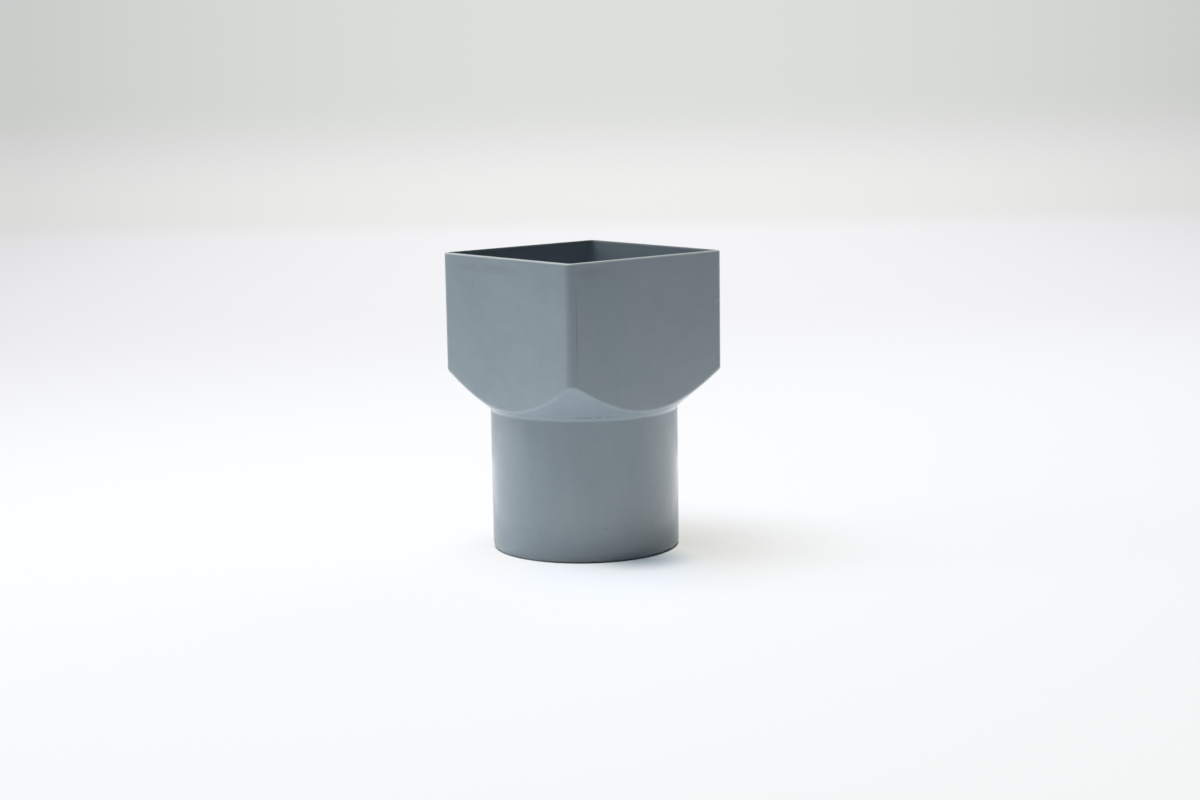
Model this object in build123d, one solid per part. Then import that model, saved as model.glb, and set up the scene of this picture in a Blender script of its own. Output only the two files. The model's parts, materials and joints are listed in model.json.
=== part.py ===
from build123d import *
import os
from math import cos, radians, sqrt, tan

# Downpipe reducer: a square socket above, a round spigot below, moulded as one piece.
# The origin is the centre of the spigot's end, and +Z runs up the axis to the socket's mouth.
# Lengths are in millimetres and angles in degrees.

# The socket and the square pipe that drops into it
pipe_side = 100.0           # outside width of the square pipe
socket_clearance = 0.95     # room on each side of that pipe, at the mouth
socket_height = 82.5        # from the top of the spigot to the rim
inner_corner_radius = 2.2   # upright corners inside the socket, at the mouth
draft_angle = 0.1           # each face leans out by this much towards the mouth
rim_round = 0.6             # outer edge of the rim

# The spigot that goes into the round pipe
spigot_diameter = 100.0
spigot_length = 75.5        # from its end to the foot of the cone
lead_in_height = 2.8        # rounded entry at its end
end_land = 0.7              # width of the flat ring that is left on the end face

# The cone that joins the two
cone_slope = 40.2           # above the horizontal
root_fillet = 2.5           # hollow between the cone and the spigot
shoulder_round = 2.4        # curved edges where the cone cuts the socket's faces

# Thickness of the moulding, even all the way
wall = 2.0

# Sizes that follow from those above
spigot_radius = spigot_diameter / 2
bore_radius = spigot_radius - wall
rim_z = spigot_length + socket_height
mouth_half = pipe_side / 2 + socket_clearance
socket_half = mouth_half + wall
outer_corner_radius = inner_corner_radius + wall
turning_reach = socket_half * sqrt(2)


def cone_z(radius):
    """Height of the outer cone at a radius; its foot is the top edge of the spigot."""
    return spigot_length + (radius - spigot_radius) * tan(radians(cone_slope))


def turned_outside():
    """Everything round on the outside: lead-in, spigot and cone, up to the rim."""
    end_radius = bore_radius + end_land
    lead_in = TangentArc(
        (spigot_radius, lead_in_height), (end_radius, 0), tangent=(0, -1)
    )
    outline = FilletPolyline(
        (spigot_radius, lead_in_height),
        (spigot_radius, spigot_length),
        (turning_reach, cone_z(turning_reach)),
        (turning_reach, rim_z),
        (0, rim_z),
        (0, 0),
        (end_radius, 0),
        radius=(root_fillet, 0, 0, 0, 0),
    )
    section = make_face([*lead_in.edges(), *outline.edges()])
    return revolve(Plane.XZ * section, Axis.Z)


def turned_inside():
    """The bore and the cone over it, both one wall inside the outer surface, up to the rim."""
    cone_rise = wall / cos(radians(cone_slope))
    outline = FilletPolyline(
        (0, 0),
        (bore_radius, 0),
        (bore_radius, cone_z(bore_radius) + cone_rise),
        (turning_reach, cone_z(turning_reach) + cone_rise),
        (turning_reach, rim_z),
        (0, rim_z),
        radius=(0, 0, root_fillet + wall, 0, 0, 0),
        close=True,
    )
    return revolve(Plane.XZ * make_face(outline.edges()), Axis.Z)


def square_block(half_side, corner_radius):
    """Square block with rounded corners that hangs from the rim and narrows with the draft."""
    rim = Plane.XY.offset(rim_z)
    block = extrude(rim * RectangleRounded(2 * half_side, 2 * half_side, corner_radius), -rim_z)
    sides = block.faces() - block.faces().filter_by(Axis.Z)
    return draft(sides, rim, -draft_angle)


def round_shoulders(body):
    """Round the curved edges that the cone leaves on the four faces and the corners."""
    underside = body.faces().filter_by(GeomType.CONE).sort_by(SortBy.AREA)[-1]
    curved = [edge for edge in underside.edges() if edge.geom_type != GeomType.CIRCLE]
    return fillet(curved, shoulder_round)


def reducer_body():
    """The whole moulding: the block cut by the cone, less the same shape one wall smaller."""
    body = turned_outside() & square_block(socket_half, outer_corner_radius)
    body = round_shoulders(body)
    body = fillet(body.faces().sort_by(Axis.Z)[-1].edges(), rim_round)
    return body - (turned_inside() & square_block(mouth_half, inner_corner_radius))


os.makedirs("parts", exist_ok=True)
export_step(reducer_body(), "parts/reducer_body.step")
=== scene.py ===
# %% [markdown]
# # A downpipe reducer on a white sweep
#
# The object is a rainwater fitting: a square pipe drops into the top, and the round spigot below goes
# into a round pipe. It is one injection moulding in grey PVC, about 160 mm tall. Its true shape comes
# from the CAD model, so this lesson is about light, camera and one plastic that has to look real.

import json
from math import cos, radians, sin

import bmesh
import bpy
from mathutils import Matrix, Vector


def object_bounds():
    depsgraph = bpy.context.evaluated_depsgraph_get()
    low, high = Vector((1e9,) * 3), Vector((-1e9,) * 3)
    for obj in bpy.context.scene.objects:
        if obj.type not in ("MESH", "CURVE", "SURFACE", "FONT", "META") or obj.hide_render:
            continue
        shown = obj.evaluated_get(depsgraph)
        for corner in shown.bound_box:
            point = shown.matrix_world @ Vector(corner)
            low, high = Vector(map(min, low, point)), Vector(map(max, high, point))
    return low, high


MM = 0.001   # Blender works in metres, and the sizes below are in millimetres

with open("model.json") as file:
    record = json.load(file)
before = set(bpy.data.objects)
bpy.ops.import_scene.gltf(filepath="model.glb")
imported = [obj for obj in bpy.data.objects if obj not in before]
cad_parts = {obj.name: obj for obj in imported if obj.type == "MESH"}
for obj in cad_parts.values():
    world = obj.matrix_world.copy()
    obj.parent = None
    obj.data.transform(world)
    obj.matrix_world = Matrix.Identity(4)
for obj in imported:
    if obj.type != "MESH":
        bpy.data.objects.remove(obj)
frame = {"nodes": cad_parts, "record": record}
cad_low, cad_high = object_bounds()
print("CAD box in mm:", [round(high / MM - low / MM, 1) for low, high in zip(cad_low, cad_high)])

# %% [markdown]
# ## Camera
#
# The pose of the camera comes from matching straight edges and the round ends: it stands a little
# over a metre away, a little above the rim, and looks at the upright corner between two flat faces.
# The lens is a short telephoto. The angles are a turn about the upright axis, a tilt and a roll.

# %% Camera
CAMERA_DISTANCE = 1152.8 * MM
CAMERA_HEIGHT = 257.95 * MM
CORNER_TURN = radians(40.187)   # how far the square is turned away from facing the camera
CAMERA_YAW = radians(-0.425)
CAMERA_TILT = radians(-8.871)
CAMERA_ROLL = radians(0.892)
LENS_MM = 65.34
SENSOR_MM = 36.0

camera_side = Vector((-sin(CORNER_TURN), -cos(CORNER_TURN), 0))   # from the object towards the camera
right_side = Vector((cos(CORNER_TURN), -sin(CORNER_TURN), 0))     # to the right in the picture

camera = bpy.data.objects.new("camera", bpy.data.cameras.new("camera"))
camera.data.lens = LENS_MM
camera.data.sensor_width = SENSOR_MM
camera.matrix_world = (
    Matrix.Translation(camera_side * CAMERA_DISTANCE + Vector((0, 0, CAMERA_HEIGHT)))
    @ Matrix.Rotation(CAMERA_YAW - CORNER_TURN, 4, "Z")
    @ Matrix.Rotation(radians(90) + CAMERA_TILT, 4, "X")
    @ Matrix.Rotation(-CAMERA_ROLL, 4, "Z")
)
bpy.context.scene.collection.objects.link(camera)
bpy.context.scene.camera = camera
print("camera at", [round(c / MM) for c in camera.location], "mm")

# %% [markdown]
# ## Helpers for materials
#
# Colours are written as the hex values that a paint chart gives. Blender's shaders want linear
# light, so one function turns a hex value to linear. One more adds a shader node with its settings
# and its inputs, which keeps each material readable as a list. It takes the inputs by name, or in
# the order in which the node shows them in the editor.

# %% Colour and node helpers
def linear(hex_colour):
    """sRGB hex such as 8f9aa1 to linear red, green, blue and an alpha of 1."""
    parts = [int(hex_colour[i:i + 2], 16) / 255 for i in (0, 2, 4)]
    return tuple(p / 12.92 if p <= 0.04045 else ((p + 0.055) / 1.055) ** 2.4 for p in parts) + (1.0,)


def scaled(hex_colour, amount):
    """A colour at a share of its strength."""
    return [amount * part for part in linear(hex_colour)[:3]] + [1.0]


def add(tree, kind, inputs=(), **settings):
    """Adds a shader node. An input is a value, a socket to link, or a node, for that node's result."""
    node = tree.nodes.new(kind)
    for name, value in settings.items():
        setattr(node, name, value)
    if not isinstance(inputs, dict):
        inputs = dict(zip([i for i, socket in enumerate(node.inputs) if socket.enabled], inputs))
    for socket, given in inputs.items():
        if isinstance(given, bpy.types.Node):
            given = next(result for result in given.outputs if result.enabled)
        if isinstance(given, bpy.types.NodeSocket):
            tree.links.new(given, node.inputs[socket])
        else:
            node.inputs[socket].default_value = given
    return node


def new_material(name):
    """A material with no nodes yet, and its node tree."""
    made = bpy.data.materials.new(name)
    made.use_nodes = True
    made.node_tree.nodes.clear()
    return made, made.node_tree


print("8f9aa1 in linear light:", [round(part, 3) for part in linear("8f9aa1")])

# %% [markdown]
# ## The sweep
#
# In a product studio the object stands on a white board that curves up behind it. A plane and a
# wall would meet in a visible line. So one edge across the set is pushed back along the floor, spun
# up through the bend and pushed up the wall, which makes all three in one mesh without a seam.

# %% Floor and backdrop
FLOOR_FRONT = 2600 * MM     # how far the floor comes towards the camera's side
FLOOR_BACK = 2050 * MM      # where the bend begins, behind the object
BEND_RADIUS = 110 * MM
WALL_HEIGHT = 700 * MM
HALF_WIDTH = 3200 * MM
BEND_STEPS = 12


def sweep_mesh():
    """Extrudes a line from front to back, spins it up round the bend and extrudes the wall."""
    made = bmesh.new()
    back = -camera_side
    ends = [made.verts.new(right_side * side * HALF_WIDTH + camera_side * FLOOR_FRONT) for side in (-1, 1)]
    edges = [made.edges.new(ends)]

    def push(edges, offset):
        new = bmesh.ops.extrude_edge_only(made, edges=edges)["geom"]
        verts = [item for item in new if isinstance(item, bmesh.types.BMVert)]
        bmesh.ops.translate(made, verts=verts, vec=offset)
        moved = [item for item in new if isinstance(item, bmesh.types.BMEdge)]
        return [edge for edge in moved if all(vert in verts for vert in edge.verts)]

    edges = push(edges, back * (FLOOR_FRONT + FLOOR_BACK))
    bend = bmesh.ops.spin(
        made, geom=edges + list(edges[0].verts), cent=back * FLOOR_BACK + Vector((0, 0, BEND_RADIUS)),
        axis=right_side, angle=radians(90), steps=BEND_STEPS, use_duplicate=False,
    )["geom_last"]
    edges = [item for item in bend if isinstance(item, bmesh.types.BMEdge)]
    push(edges, Vector((0, 0, WALL_HEIGHT)))
    bmesh.ops.recalc_face_normals(made, faces=made.faces)
    mesh = bpy.data.meshes.new("sweep")
    made.to_mesh(mesh)
    made.free()
    mesh.shade_smooth()
    return mesh


sweep = bpy.data.objects.new("sweep", sweep_mesh())
bpy.context.scene.collection.objects.link(sweep)
print("sweep size in mm:", [round(length / MM) for length in sweep.dimensions])

# %% [markdown]
# The board is matt white card. Under these lamps plain card comes out nearly white beside the object,
# but greyer further out, and much too grey on the wall. So it has two sides. Rays that carry light
# find plain white card, which bounces light up under the cone. The camera and mirror-like reflections
# find a board of more even tone. Beside the object that is a share of the true light, which keeps the
# shadow, and a soft glow that makes up the rest. Further out only the glow is left, so the lamps draw
# no edges there. Light Path tells the rays apart. At the foot the glow changes in two soft patches,
# which set the depth and the tone of the shadow there: a painted shadow, and a wider painted bounce
# of cooler light in front. Painted shade in the glow also darkens the sides and greys the upper wall.

# %% Board, as light finds it
CARD_WHITE = "fbfbfb"

board, tree = new_material("matt_white_card")
point = add(tree, "ShaderNodeTexCoord").outputs["Object"]
height = add(tree, "ShaderNodeSeparateXYZ", [point]).outputs["Z"]
card = add(tree, "ShaderNodeBsdfDiffuse", [linear(CARD_WHITE)])
print("card sends back", round(linear(CARD_WHITE)[1], 2), "of the light")

# %% Board, as the camera finds it
NEAR_TINT, NEAR_GLOW = "fffff4", 0.622     # the glow beside the object, where 1 is white
SHARE_TINT, SHARE = "edecff", 0.430        # the share of true light there: cool, so the shadow is warm
FAR_FLOOR = "f5f5f7"                       # the floor far out
OUTWARD = (250 * MM, 1300 * MM)            # distances over which near turns to far
WALL_LOW, WALL_HIGH = "efefee", "dddfdd"
BEND_FADE = (0 * MM, 26 * MM)              # heights over which the floor's colour turns to the wall's
WALL_FADE = (60 * MM, 210 * MM)            # and the wall's lower band to its greyer upper part: painted shade
HALF_VIEW = 913 * MM                       # half the width that the camera sees of the wall
EDGE_FALL = 0.18                           # how much darker the sides are: painted shade in the glow
BRIGHTEST = 0.08                           # the brightest place is a little right of the middle
SPIGOT_RADIUS = next(m["dims"]["r_mm"] for m in frame["record"]["mounts"] if m["name"] == "spigot") * MM
FOOT_GAP = (SPIGOT_RADIUS - 0.7 * MM, SPIGOT_RADIUS + 0.3 * MM)   # nothing glows nearer than this
PAINTED_FOOT_SHADOW_AND_BOUNCE = (   # painted shadow and bounce light at the foot: middle to the right and forward, start and end of the fade, all in mm, and the glow
    (10, 75, 25, 70, "f8fffd", 0.641),     # painted bounce light: a wide one in front, a little cooler than the floor round it
    (28, 40, 2, 34, "dcf2f9", 0.280),      # the painted shadow itself, deepest at the front on the right
)
BLACK = (0, 0, 0, 1)

away = add(tree, "ShaderNodeVectorMath", [point], operation="LENGTH")
outward, up_bend, up_wall, outside = (
    add(tree, "ShaderNodeMapRange", [source, *span], interpolation_type="SMOOTHSTEP")
    for source, span in ((away, OUTWARD), (height, BEND_FADE), (height, WALL_FADE), (away, FOOT_GAP))
)
glow_steps = (
    (outward, scaled(NEAR_TINT, NEAR_GLOW), linear(FAR_FLOOR)),   # near floor to far floor
    (up_wall, linear(WALL_LOW), linear(WALL_HIGH)),               # lower wall to upper wall
)
floor_glow, wall_glow = (add(tree, "ShaderNodeMix", step, data_type="RGBA") for step in glow_steps)
glow = add(tree, "ShaderNodeMix", [up_bend, floor_glow, wall_glow], data_type="RGBA")

# %% Board: painted shade at the sides, and painted shadow and light at the foot
across = add(tree, "ShaderNodeVectorMath", [point, right_side / HALF_VIEW], operation="DOT_PRODUCT")
aside = add(tree, "ShaderNodeMath", [across, BRIGHTEST], operation="SUBTRACT")
aside = add(tree, "ShaderNodeMath", [aside, 2.0], operation="POWER")
sides = add(tree, "ShaderNodeMapRange", [aside, 0.0, 1.0, 1.0, 1 - EDGE_FALL])
# painted shadow and painted bounce light at the foot, mixed into the glow
for right, forward, start, end, tint, level in PAINTED_FOOT_SHADOW_AND_BOUNCE:
    middle = (right_side * right + camera_side * forward) * MM
    beside = add(tree, "ShaderNodeVectorMath", [point, middle], operation="DISTANCE")
    faded = add(tree, "ShaderNodeMapRange", [beside, start * MM, end * MM], interpolation_type="SMOOTHSTEP")
    glow = add(tree, "ShaderNodeMix", [faded, scaled(tint, level), glow], data_type="RGBA")
strength = add(tree, "ShaderNodeMath", [outside, sides], operation="MULTIPLY")
emit = add(tree, "ShaderNodeEmission", [glow, strength])

share = [outside, linear(CARD_WHITE), scaled(SHARE_TINT, SHARE)]   # inside the spigot the card is plain
share = add(tree, "ShaderNodeMix", share, data_type="RGBA")
for fade in (outward, up_bend):                                    # and none is left far out or up
    share = add(tree, "ShaderNodeMix", [fade, share, BLACK], data_type="RGBA")
shadow = add(tree, "ShaderNodeBsdfDiffuse", [share])
calm = add(tree, "ShaderNodeAddShader", [emit, shadow])


def seen_by_eye(tree, rays=("Is Transmission Ray", "Is Glossy Ray")):
    """1 for camera rays and the kinds of ray that are named, and 0 for rays that carry light."""
    path = add(tree, "ShaderNodeLightPath").outputs
    seen = path["Is Camera Ray"]
    for ray in rays:
        seen = add(tree, "ShaderNodeMath", [seen, path[ray]], operation="MAXIMUM")
    return seen


surface = add(tree, "ShaderNodeMixShader", [seen_by_eye(tree), card, calm])
add(tree, "ShaderNodeOutputMaterial", {"Surface": surface})
sweep.data.materials.append(board)
print("the floor beside the object glows at", NEAR_GLOW, "and keeps", SHARE, "of its light")

# %% [markdown]
# ## Light
#
# The soft light is that of a photographer's light table. Large softboxes hang over the set and to its
# left. Two low ones draw the pale lines down both sides of the spigot, the right one cooler. The table
# itself shines up a little beside the object, which lifts the cone and the foot of the spigot and
# leaves the inside dark: lamps that lie flat on the board do this, and the camera doesn't see them.

# %% Softboxes
def from_middle(azimuth, elevation):
    """Direction from the object: 0 degrees is towards the camera, 90 to the right, 180 behind."""
    around, up = radians(azimuth), radians(elevation)
    flat = camera_side * cos(around) + right_side * sin(around)
    return flat * cos(up) + Vector((0, 0, sin(up)))


def area_lamp(name, place, facing, size, watts, colour):
    """A rectangular lamp at a place, with the direction that it shines in."""
    lamp = bpy.data.lights.new(name, "AREA")
    lamp.shape = "RECTANGLE"
    lamp.size, lamp.size_y = size
    lamp.energy = watts
    lamp.color = colour
    made = bpy.data.objects.new(name, lamp)
    turn = Matrix((right_side, facing.cross(right_side), -facing)).transposed().to_4x4()
    made.matrix_world = Matrix.Translation(place) @ turn
    made.visible_camera = False
    bpy.context.scene.collection.objects.link(made)
    print(name, "at", [round(c / MM) for c in made.location], "mm,", watts, "W")


MIDDLE = Vector((0, 0, 80 * MM))            # half way up the object, where the softboxes aim
COOL, COOLER = (0.95, 0.98, 1.0), (0.85, 0.95, 1.0)   # linear light
for name, azimuth, elevation, distance, side, watts, colour in (   # angles in degrees, lengths in mm
    ("softbox_over", -90, 80, 2200, 1400, 32.0, COOL),
    ("softbox_left", -108, 66, 2200, 1400, 19.4, COOL),
    ("low_box_left", -90, 20, 1300, 900, 2.8, COOL),
    ("low_box_behind", 140, 23, 1300, 900, 3.7, COOLER),
):
    aim = from_middle(azimuth, elevation)
    area_lamp(name, MIDDLE + aim * distance * MM, -aim, (side * MM, side * MM), watts, colour)

# %% Light table
ABOVE_BOARD = Vector((0, 0, 1 * MM))
for name, across, forward, width, depth, watts, colour in (   # lengths in mm
    ("table_foot", -10, 68, 130, 24, 0.0014, (0.80, 0.95, 1.0)),
    ("table_front", 40, 165, 300, 140, 0.082, (0.95, 0.99, 1.0)),
    ("table_corner", -130, 95, 170, 150, 0.034, (0.75, 0.90, 1.0)),
    ("table_left", -330, -75, 460, 330, 0.247, (1, 1, 0.98)),
    ("table_right", 330, -75, 470, 340, 0.330, (1, 0.975, 0.92)),
):
    place = (right_side * across + camera_side * forward) * MM + ABOVE_BOARD
    area_lamp(name, place, Vector((0, 0, 1)), (width * MM, depth * MM), watts, colour)

# %% [markdown]
# The room sends no light of its own. Only the camera sees it, past the edges of the board, and there
# it has the colour of the wall. Grey sky light would be quicker, but it would fill the socket's inside.

# %% Room
room = bpy.data.worlds.new("room")
bpy.context.scene.world = room
room.use_nodes = True
tree = room.node_tree
tree.nodes.clear()
dark = add(tree, "ShaderNodeBackground", [BLACK, 0.0])
plain = add(tree, "ShaderNodeBackground", [linear(WALL_HIGH), 1.0])
surface = add(tree, "ShaderNodeMixShader", [seen_by_eye(tree, ["Is Transmission Ray"]), dark, plain])
add(tree, "ShaderNodeOutputWorld", {"Surface": surface})

bpy.context.scene.view_settings.view_transform = "Standard"   # a colour then shows as it is written

# %% [markdown]
# ## Grey PVC
#
# Downpipe fittings are moulded in rigid PVC that is grey all through. The tool is plainly polished,
# so the surface is satin: soft broad reflections that grow strong where it turns away from the eye.
# One flat grey would look drawn. The real tone drifts where the melt flowed together, so three noises
# of real sizes shift it between two greys that lie close together.

# %% Grey PVC: tone
PVC_DEEP = "8996a0"       # where the melt flowed together and the colour lies deeper
PVC_PALE = "93a0a7"
CLOUD_SIZE = 34 * MM      # soft clouds in the colour
BLOTCH_SIZE = 6 * MM      # and small blotches over them
STREAK_WIDTH = 2.2 * MM   # lines drawn up and down as the part left the tool
STREAK_STRETCH = 0.04     # so that one line is about 25 times as long as wide
BLOTCH_SHARE, STREAK_SHARE = 0.35, 0.12
NOISE_DETAIL = 2.0        # octaves of finer lumps in each noise
MOTTLE = (0.25, 0.75)     # the mottle seldom leaves this range, which goes from deep to pale

pvc, tree = new_material("moulded_grey_pvc")
coordinates = add(tree, "ShaderNodeTexCoord").outputs
point = coordinates["Object"]
drawn = add(tree, "ShaderNodeMapping", {"Vector": point, "Scale": (1, 1, STREAK_STRETCH)})
cloud, blotch, streak = (
    add(tree, "ShaderNodeTexNoise", [where, 1 / size, NOISE_DETAIL])
    for where, size in ((point, CLOUD_SIZE), (point, BLOTCH_SIZE), (drawn, STREAK_WIDTH))
)
cloudy = add(tree, "ShaderNodeMix", [BLOTCH_SHARE, cloud, blotch])
mottle = add(tree, "ShaderNodeMix", [STREAK_SHARE, cloudy, streak])
paleness = add(tree, "ShaderNodeMapRange", [mottle, *MOTTLE])
grey = add(tree, "ShaderNodeMix", [paleness, linear(PVC_DEEP), linear(PVC_PALE)], data_type="RGBA")
print("clouds", CLOUD_SIZE / MM, "mm, streaks", STREAK_WIDTH / MM, "mm wide")

# %% [markdown]
# Handling has left its marks, and light and shade are painted in among them. The rim is rubbed paler
# and painted paler still as a highlight, and the curved edges under the socket get a painted highlight.
# The edges are found by their slope, which lies between that of the upright faces and that of the cone.
# A darker band lies a little below the rim on the left face, and painted shade darkens the top of the
# right face near the front corner. A dark broken line lies just above the hollow under the cone, and
# painted shade darkens the upright line where a flat face meets the front corner. A painted image could
# show all this, but soft ovals that a noise breaks up stay sharp at any size.

# %% Grey PVC: rim rubbed and painted with a highlight, edges painted with a highlight
# a pale colour for rubbing, also used to paint highlights on the rim and the curved edges
PALE_RUB_AND_HIGHLIGHT = "cbd1d1"
FACE, RIM = cad_high[0], cad_high[2]        # half the socket's width, and the height of its rim
# the top of the rim: rubbed, and painted paler as a highlight
RIM_RUB_AND_HIGHLIGHT = (RIM - 1.0 * MM, RIM - 0.3 * MM)
EDGE_HIGHLIGHT = 0.05                             # how far the edges turn to the pale colour, as a painted highlight
FACE_SLOPE, EDGE_SLOPE, CONE_SLOPE = -0.08, -0.40, -0.72    # upright part of the surface's direction
EDGE_LOWEST = (76.5 * MM, 77.2 * MM)        # the edges lie above this, and the cone's hollow below it
SOFT_EDGE = (1.0, 0.2)                      # a mark fades in between these shares of its half size
BREAK_RANGE = (0.32, 0.55)                  # below this the noise leaves a gap in a mark

slope = add(tree, "ShaderNodeSeparateXYZ", [coordinates["Normal"]]).outputs["Z"]
level = add(tree, "ShaderNodeSeparateXYZ", [point]).outputs["Z"]
from_cone, from_face, upper, at_rim = (
    add(tree, "ShaderNodeMapRange", inputs, interpolation_type="SMOOTHSTEP")
    for inputs in (
        (slope, CONE_SLOPE, EDGE_SLOPE), (slope, FACE_SLOPE, EDGE_SLOPE),
        (level, *EDGE_LOWEST, 0.0, EDGE_HIGHLIGHT), (level, *RIM_RUB_AND_HIGHLIGHT),
    )
)
# painted highlight on the curved edges, and on the rim with its rubbing
edges = add(tree, "ShaderNodeMath", [from_cone, from_face], operation="MULTIPLY")
edges = add(tree, "ShaderNodeMath", [edges, upper], operation="MULTIPLY")
rub_and_highlight = add(tree, "ShaderNodeMath", [edges, at_rim], operation="MAXIMUM")


def mark(middle, half, depth, breaks):
    """A soft oval patch on the surface, broken up by a noise."""
    moved = add(tree, "ShaderNodeVectorMath", [point, middle], operation="SUBTRACT")
    shrink = [1 / (length * MM) for length in half]
    shrunk = add(tree, "ShaderNodeVectorMath", [moved, shrink], operation="MULTIPLY")
    reach = add(tree, "ShaderNodeVectorMath", [shrunk], operation="LENGTH")
    oval = add(tree, "ShaderNodeMapRange", [reach, *SOFT_EDGE], interpolation_type="SMOOTHSTEP")
    lumps = add(tree, "ShaderNodeTexNoise", [point, 1 / (breaks * MM), NOISE_DETAIL])
    broken = [lumps, *BREAK_RANGE, 0.0, depth]
    broken = add(tree, "ShaderNodeMapRange", broken, interpolation_type="SMOOTHSTEP")
    return add(tree, "ShaderNodeMath", [oval, broken], operation="MULTIPLY")


scuff = mark(Vector((FACE - 4.5 * MM, -FACE, RIM - 27 * MM)), (2.4, 3, 2.6), 0.14, 40)   # beside a corner
rub_and_highlight = add(tree, "ShaderNodeMath", [rub_and_highlight, scuff], operation="MAXIMUM")
print("rim rubbed from", round(RIM_RUB_AND_HIGHLIGHT[0] / MM, 1), "mm up")

# %% Grey PVC: dirt, and painted shade
# a dark colour for dirt and specks, also used to paint shade
DIRT_AND_SHADE = "5f666a"
FOOT_LINE = from_middle(3.5, 0) * 51.6 * MM + Vector((0, 0, 76.85 * MM))      # a little right of the middle
SPIGOT_SPECK = from_middle(12, 0) * SPIGOT_RADIUS + Vector((0, 0, 18 * MM))   # and further right, low down
MARKS = (   # middle in metres, half size in mm, depth, and the size of the breaks in it in mm
    (Vector((-FACE, 12 * MM, RIM - 6 * MM)), (4, 44, 3.6), 0.16, 12),              # a darker band a little below the rim, left face
    (Vector((-FACE + 14 * MM, -FACE, RIM - 5 * MM)), (17, 4, 4.0), 0.14, 12),      # painted shade at the top of the right face, near the front corner
    (Vector((-FACE + 4.2 * MM, -FACE, RIM - 34 * MM)), (0.6, 2, 36), 0.35, 60),    # painted shade beside the front corner
    (FOOT_LINE, (18, 18, 0.4), 0.80, 2.2),                                         # above the cone's hollow
    (SPIGOT_SPECK, (0.9, 0.9, 0.9), 0.60, 60),                                     # low on the spigot
)
SPECK_SPACING, SPECK_SIZE, SPECK_DEPTH = 13 * MM, 0.7 * MM, 0.35
SPECK_CORE = 0.2          # the share of a speck that is at its full depth

cells = add(tree, "ShaderNodeTexVoronoi", [point, 1 / SPECK_SPACING])   # each cell may hold one speck
speck = SPECK_SIZE / SPECK_SPACING
dirt_and_shade = [cells, speck, SPECK_CORE * speck, 0.0, SPECK_DEPTH]
dirt_and_shade = add(tree, "ShaderNodeMapRange", dirt_and_shade, interpolation_type="SMOOTHSTEP")
for row in MARKS:
    dirt_and_shade = add(tree, "ShaderNodeMath", [dirt_and_shade, mark(*row)], operation="MAXIMUM")
# the pale rubbing and painted highlights go on first, then the dirt and painted shade
colour = grey
for share, tint in ((rub_and_highlight, PALE_RUB_AND_HIGHLIGHT), (dirt_and_shade, DIRT_AND_SHADE)):
    colour = add(tree, "ShaderNodeMix", [share, colour, linear(tint)], data_type="RGBA")
print(len(MARKS), "marks, and specks", SPECK_SIZE / MM, "mm in size")

# %% [markdown]
# The surface is nearly flat, but not quite. The faces wave a little where the plastic shrank, and the
# tool has left streaks and a fine grain. All of it is far too shallow to change the outline, so it
# needs no mesh: three bumps carry it, from the widest to the finest. The gloss follows the mottle.

# %% Grey PVC: surface
GRAIN_SIZE = 1.1 * MM     # real polishing marks are finer: drawn coarser, so that they show in the render
WAVE_SIZE = 24 * MM       # shrinkage leaves the flat faces very slightly wavy
WAVE_DEPTH, STREAK_DEPTH, GRAIN_DEPTH = 0.15 * MM, 0.005 * MM, 0.014 * MM
GLOSS_OVER = (0.2, 0.8)   # the range of the mottle over which the gloss changes
GLOSS = (0.22, 0.28)      # roughness, from the deep tone to the pale one
PVC_IOR = 1.58            # rigid PVC is about 1.54, and 1.58 comes very slightly closer to the photo

wave = add(tree, "ShaderNodeTexNoise", [point, 1 / WAVE_SIZE, 0.0])   # with no finer lumps in it
grain = add(tree, "ShaderNodeTexNoise", [point, 1 / GRAIN_SIZE, NOISE_DETAIL])
bump = add(tree, "ShaderNodeBump", {"Height": wave, "Strength": 1.0, "Distance": WAVE_DEPTH})
for height, depth in ((streak, STREAK_DEPTH), (grain, GRAIN_DEPTH)):
    relief = {"Height": height, "Strength": 1.0, "Distance": depth, "Normal": bump}
    bump = add(tree, "ShaderNodeBump", relief)
gloss = add(tree, "ShaderNodeMapRange", [mottle, *GLOSS_OVER, *GLOSS])
finish = {"Base Color": colour, "Roughness": gloss, "Normal": bump, "IOR": PVC_IOR}
plastic = add(tree, "ShaderNodeBsdfPrincipled", finish)
add(tree, "ShaderNodeOutputMaterial", {"Surface": plastic})

body = frame["nodes"]["reducer_body"]
body.material_slots[0].material = pvc
print("grain", GRAIN_SIZE / MM, "mm, waves", WAVE_SIZE / MM, "mm")
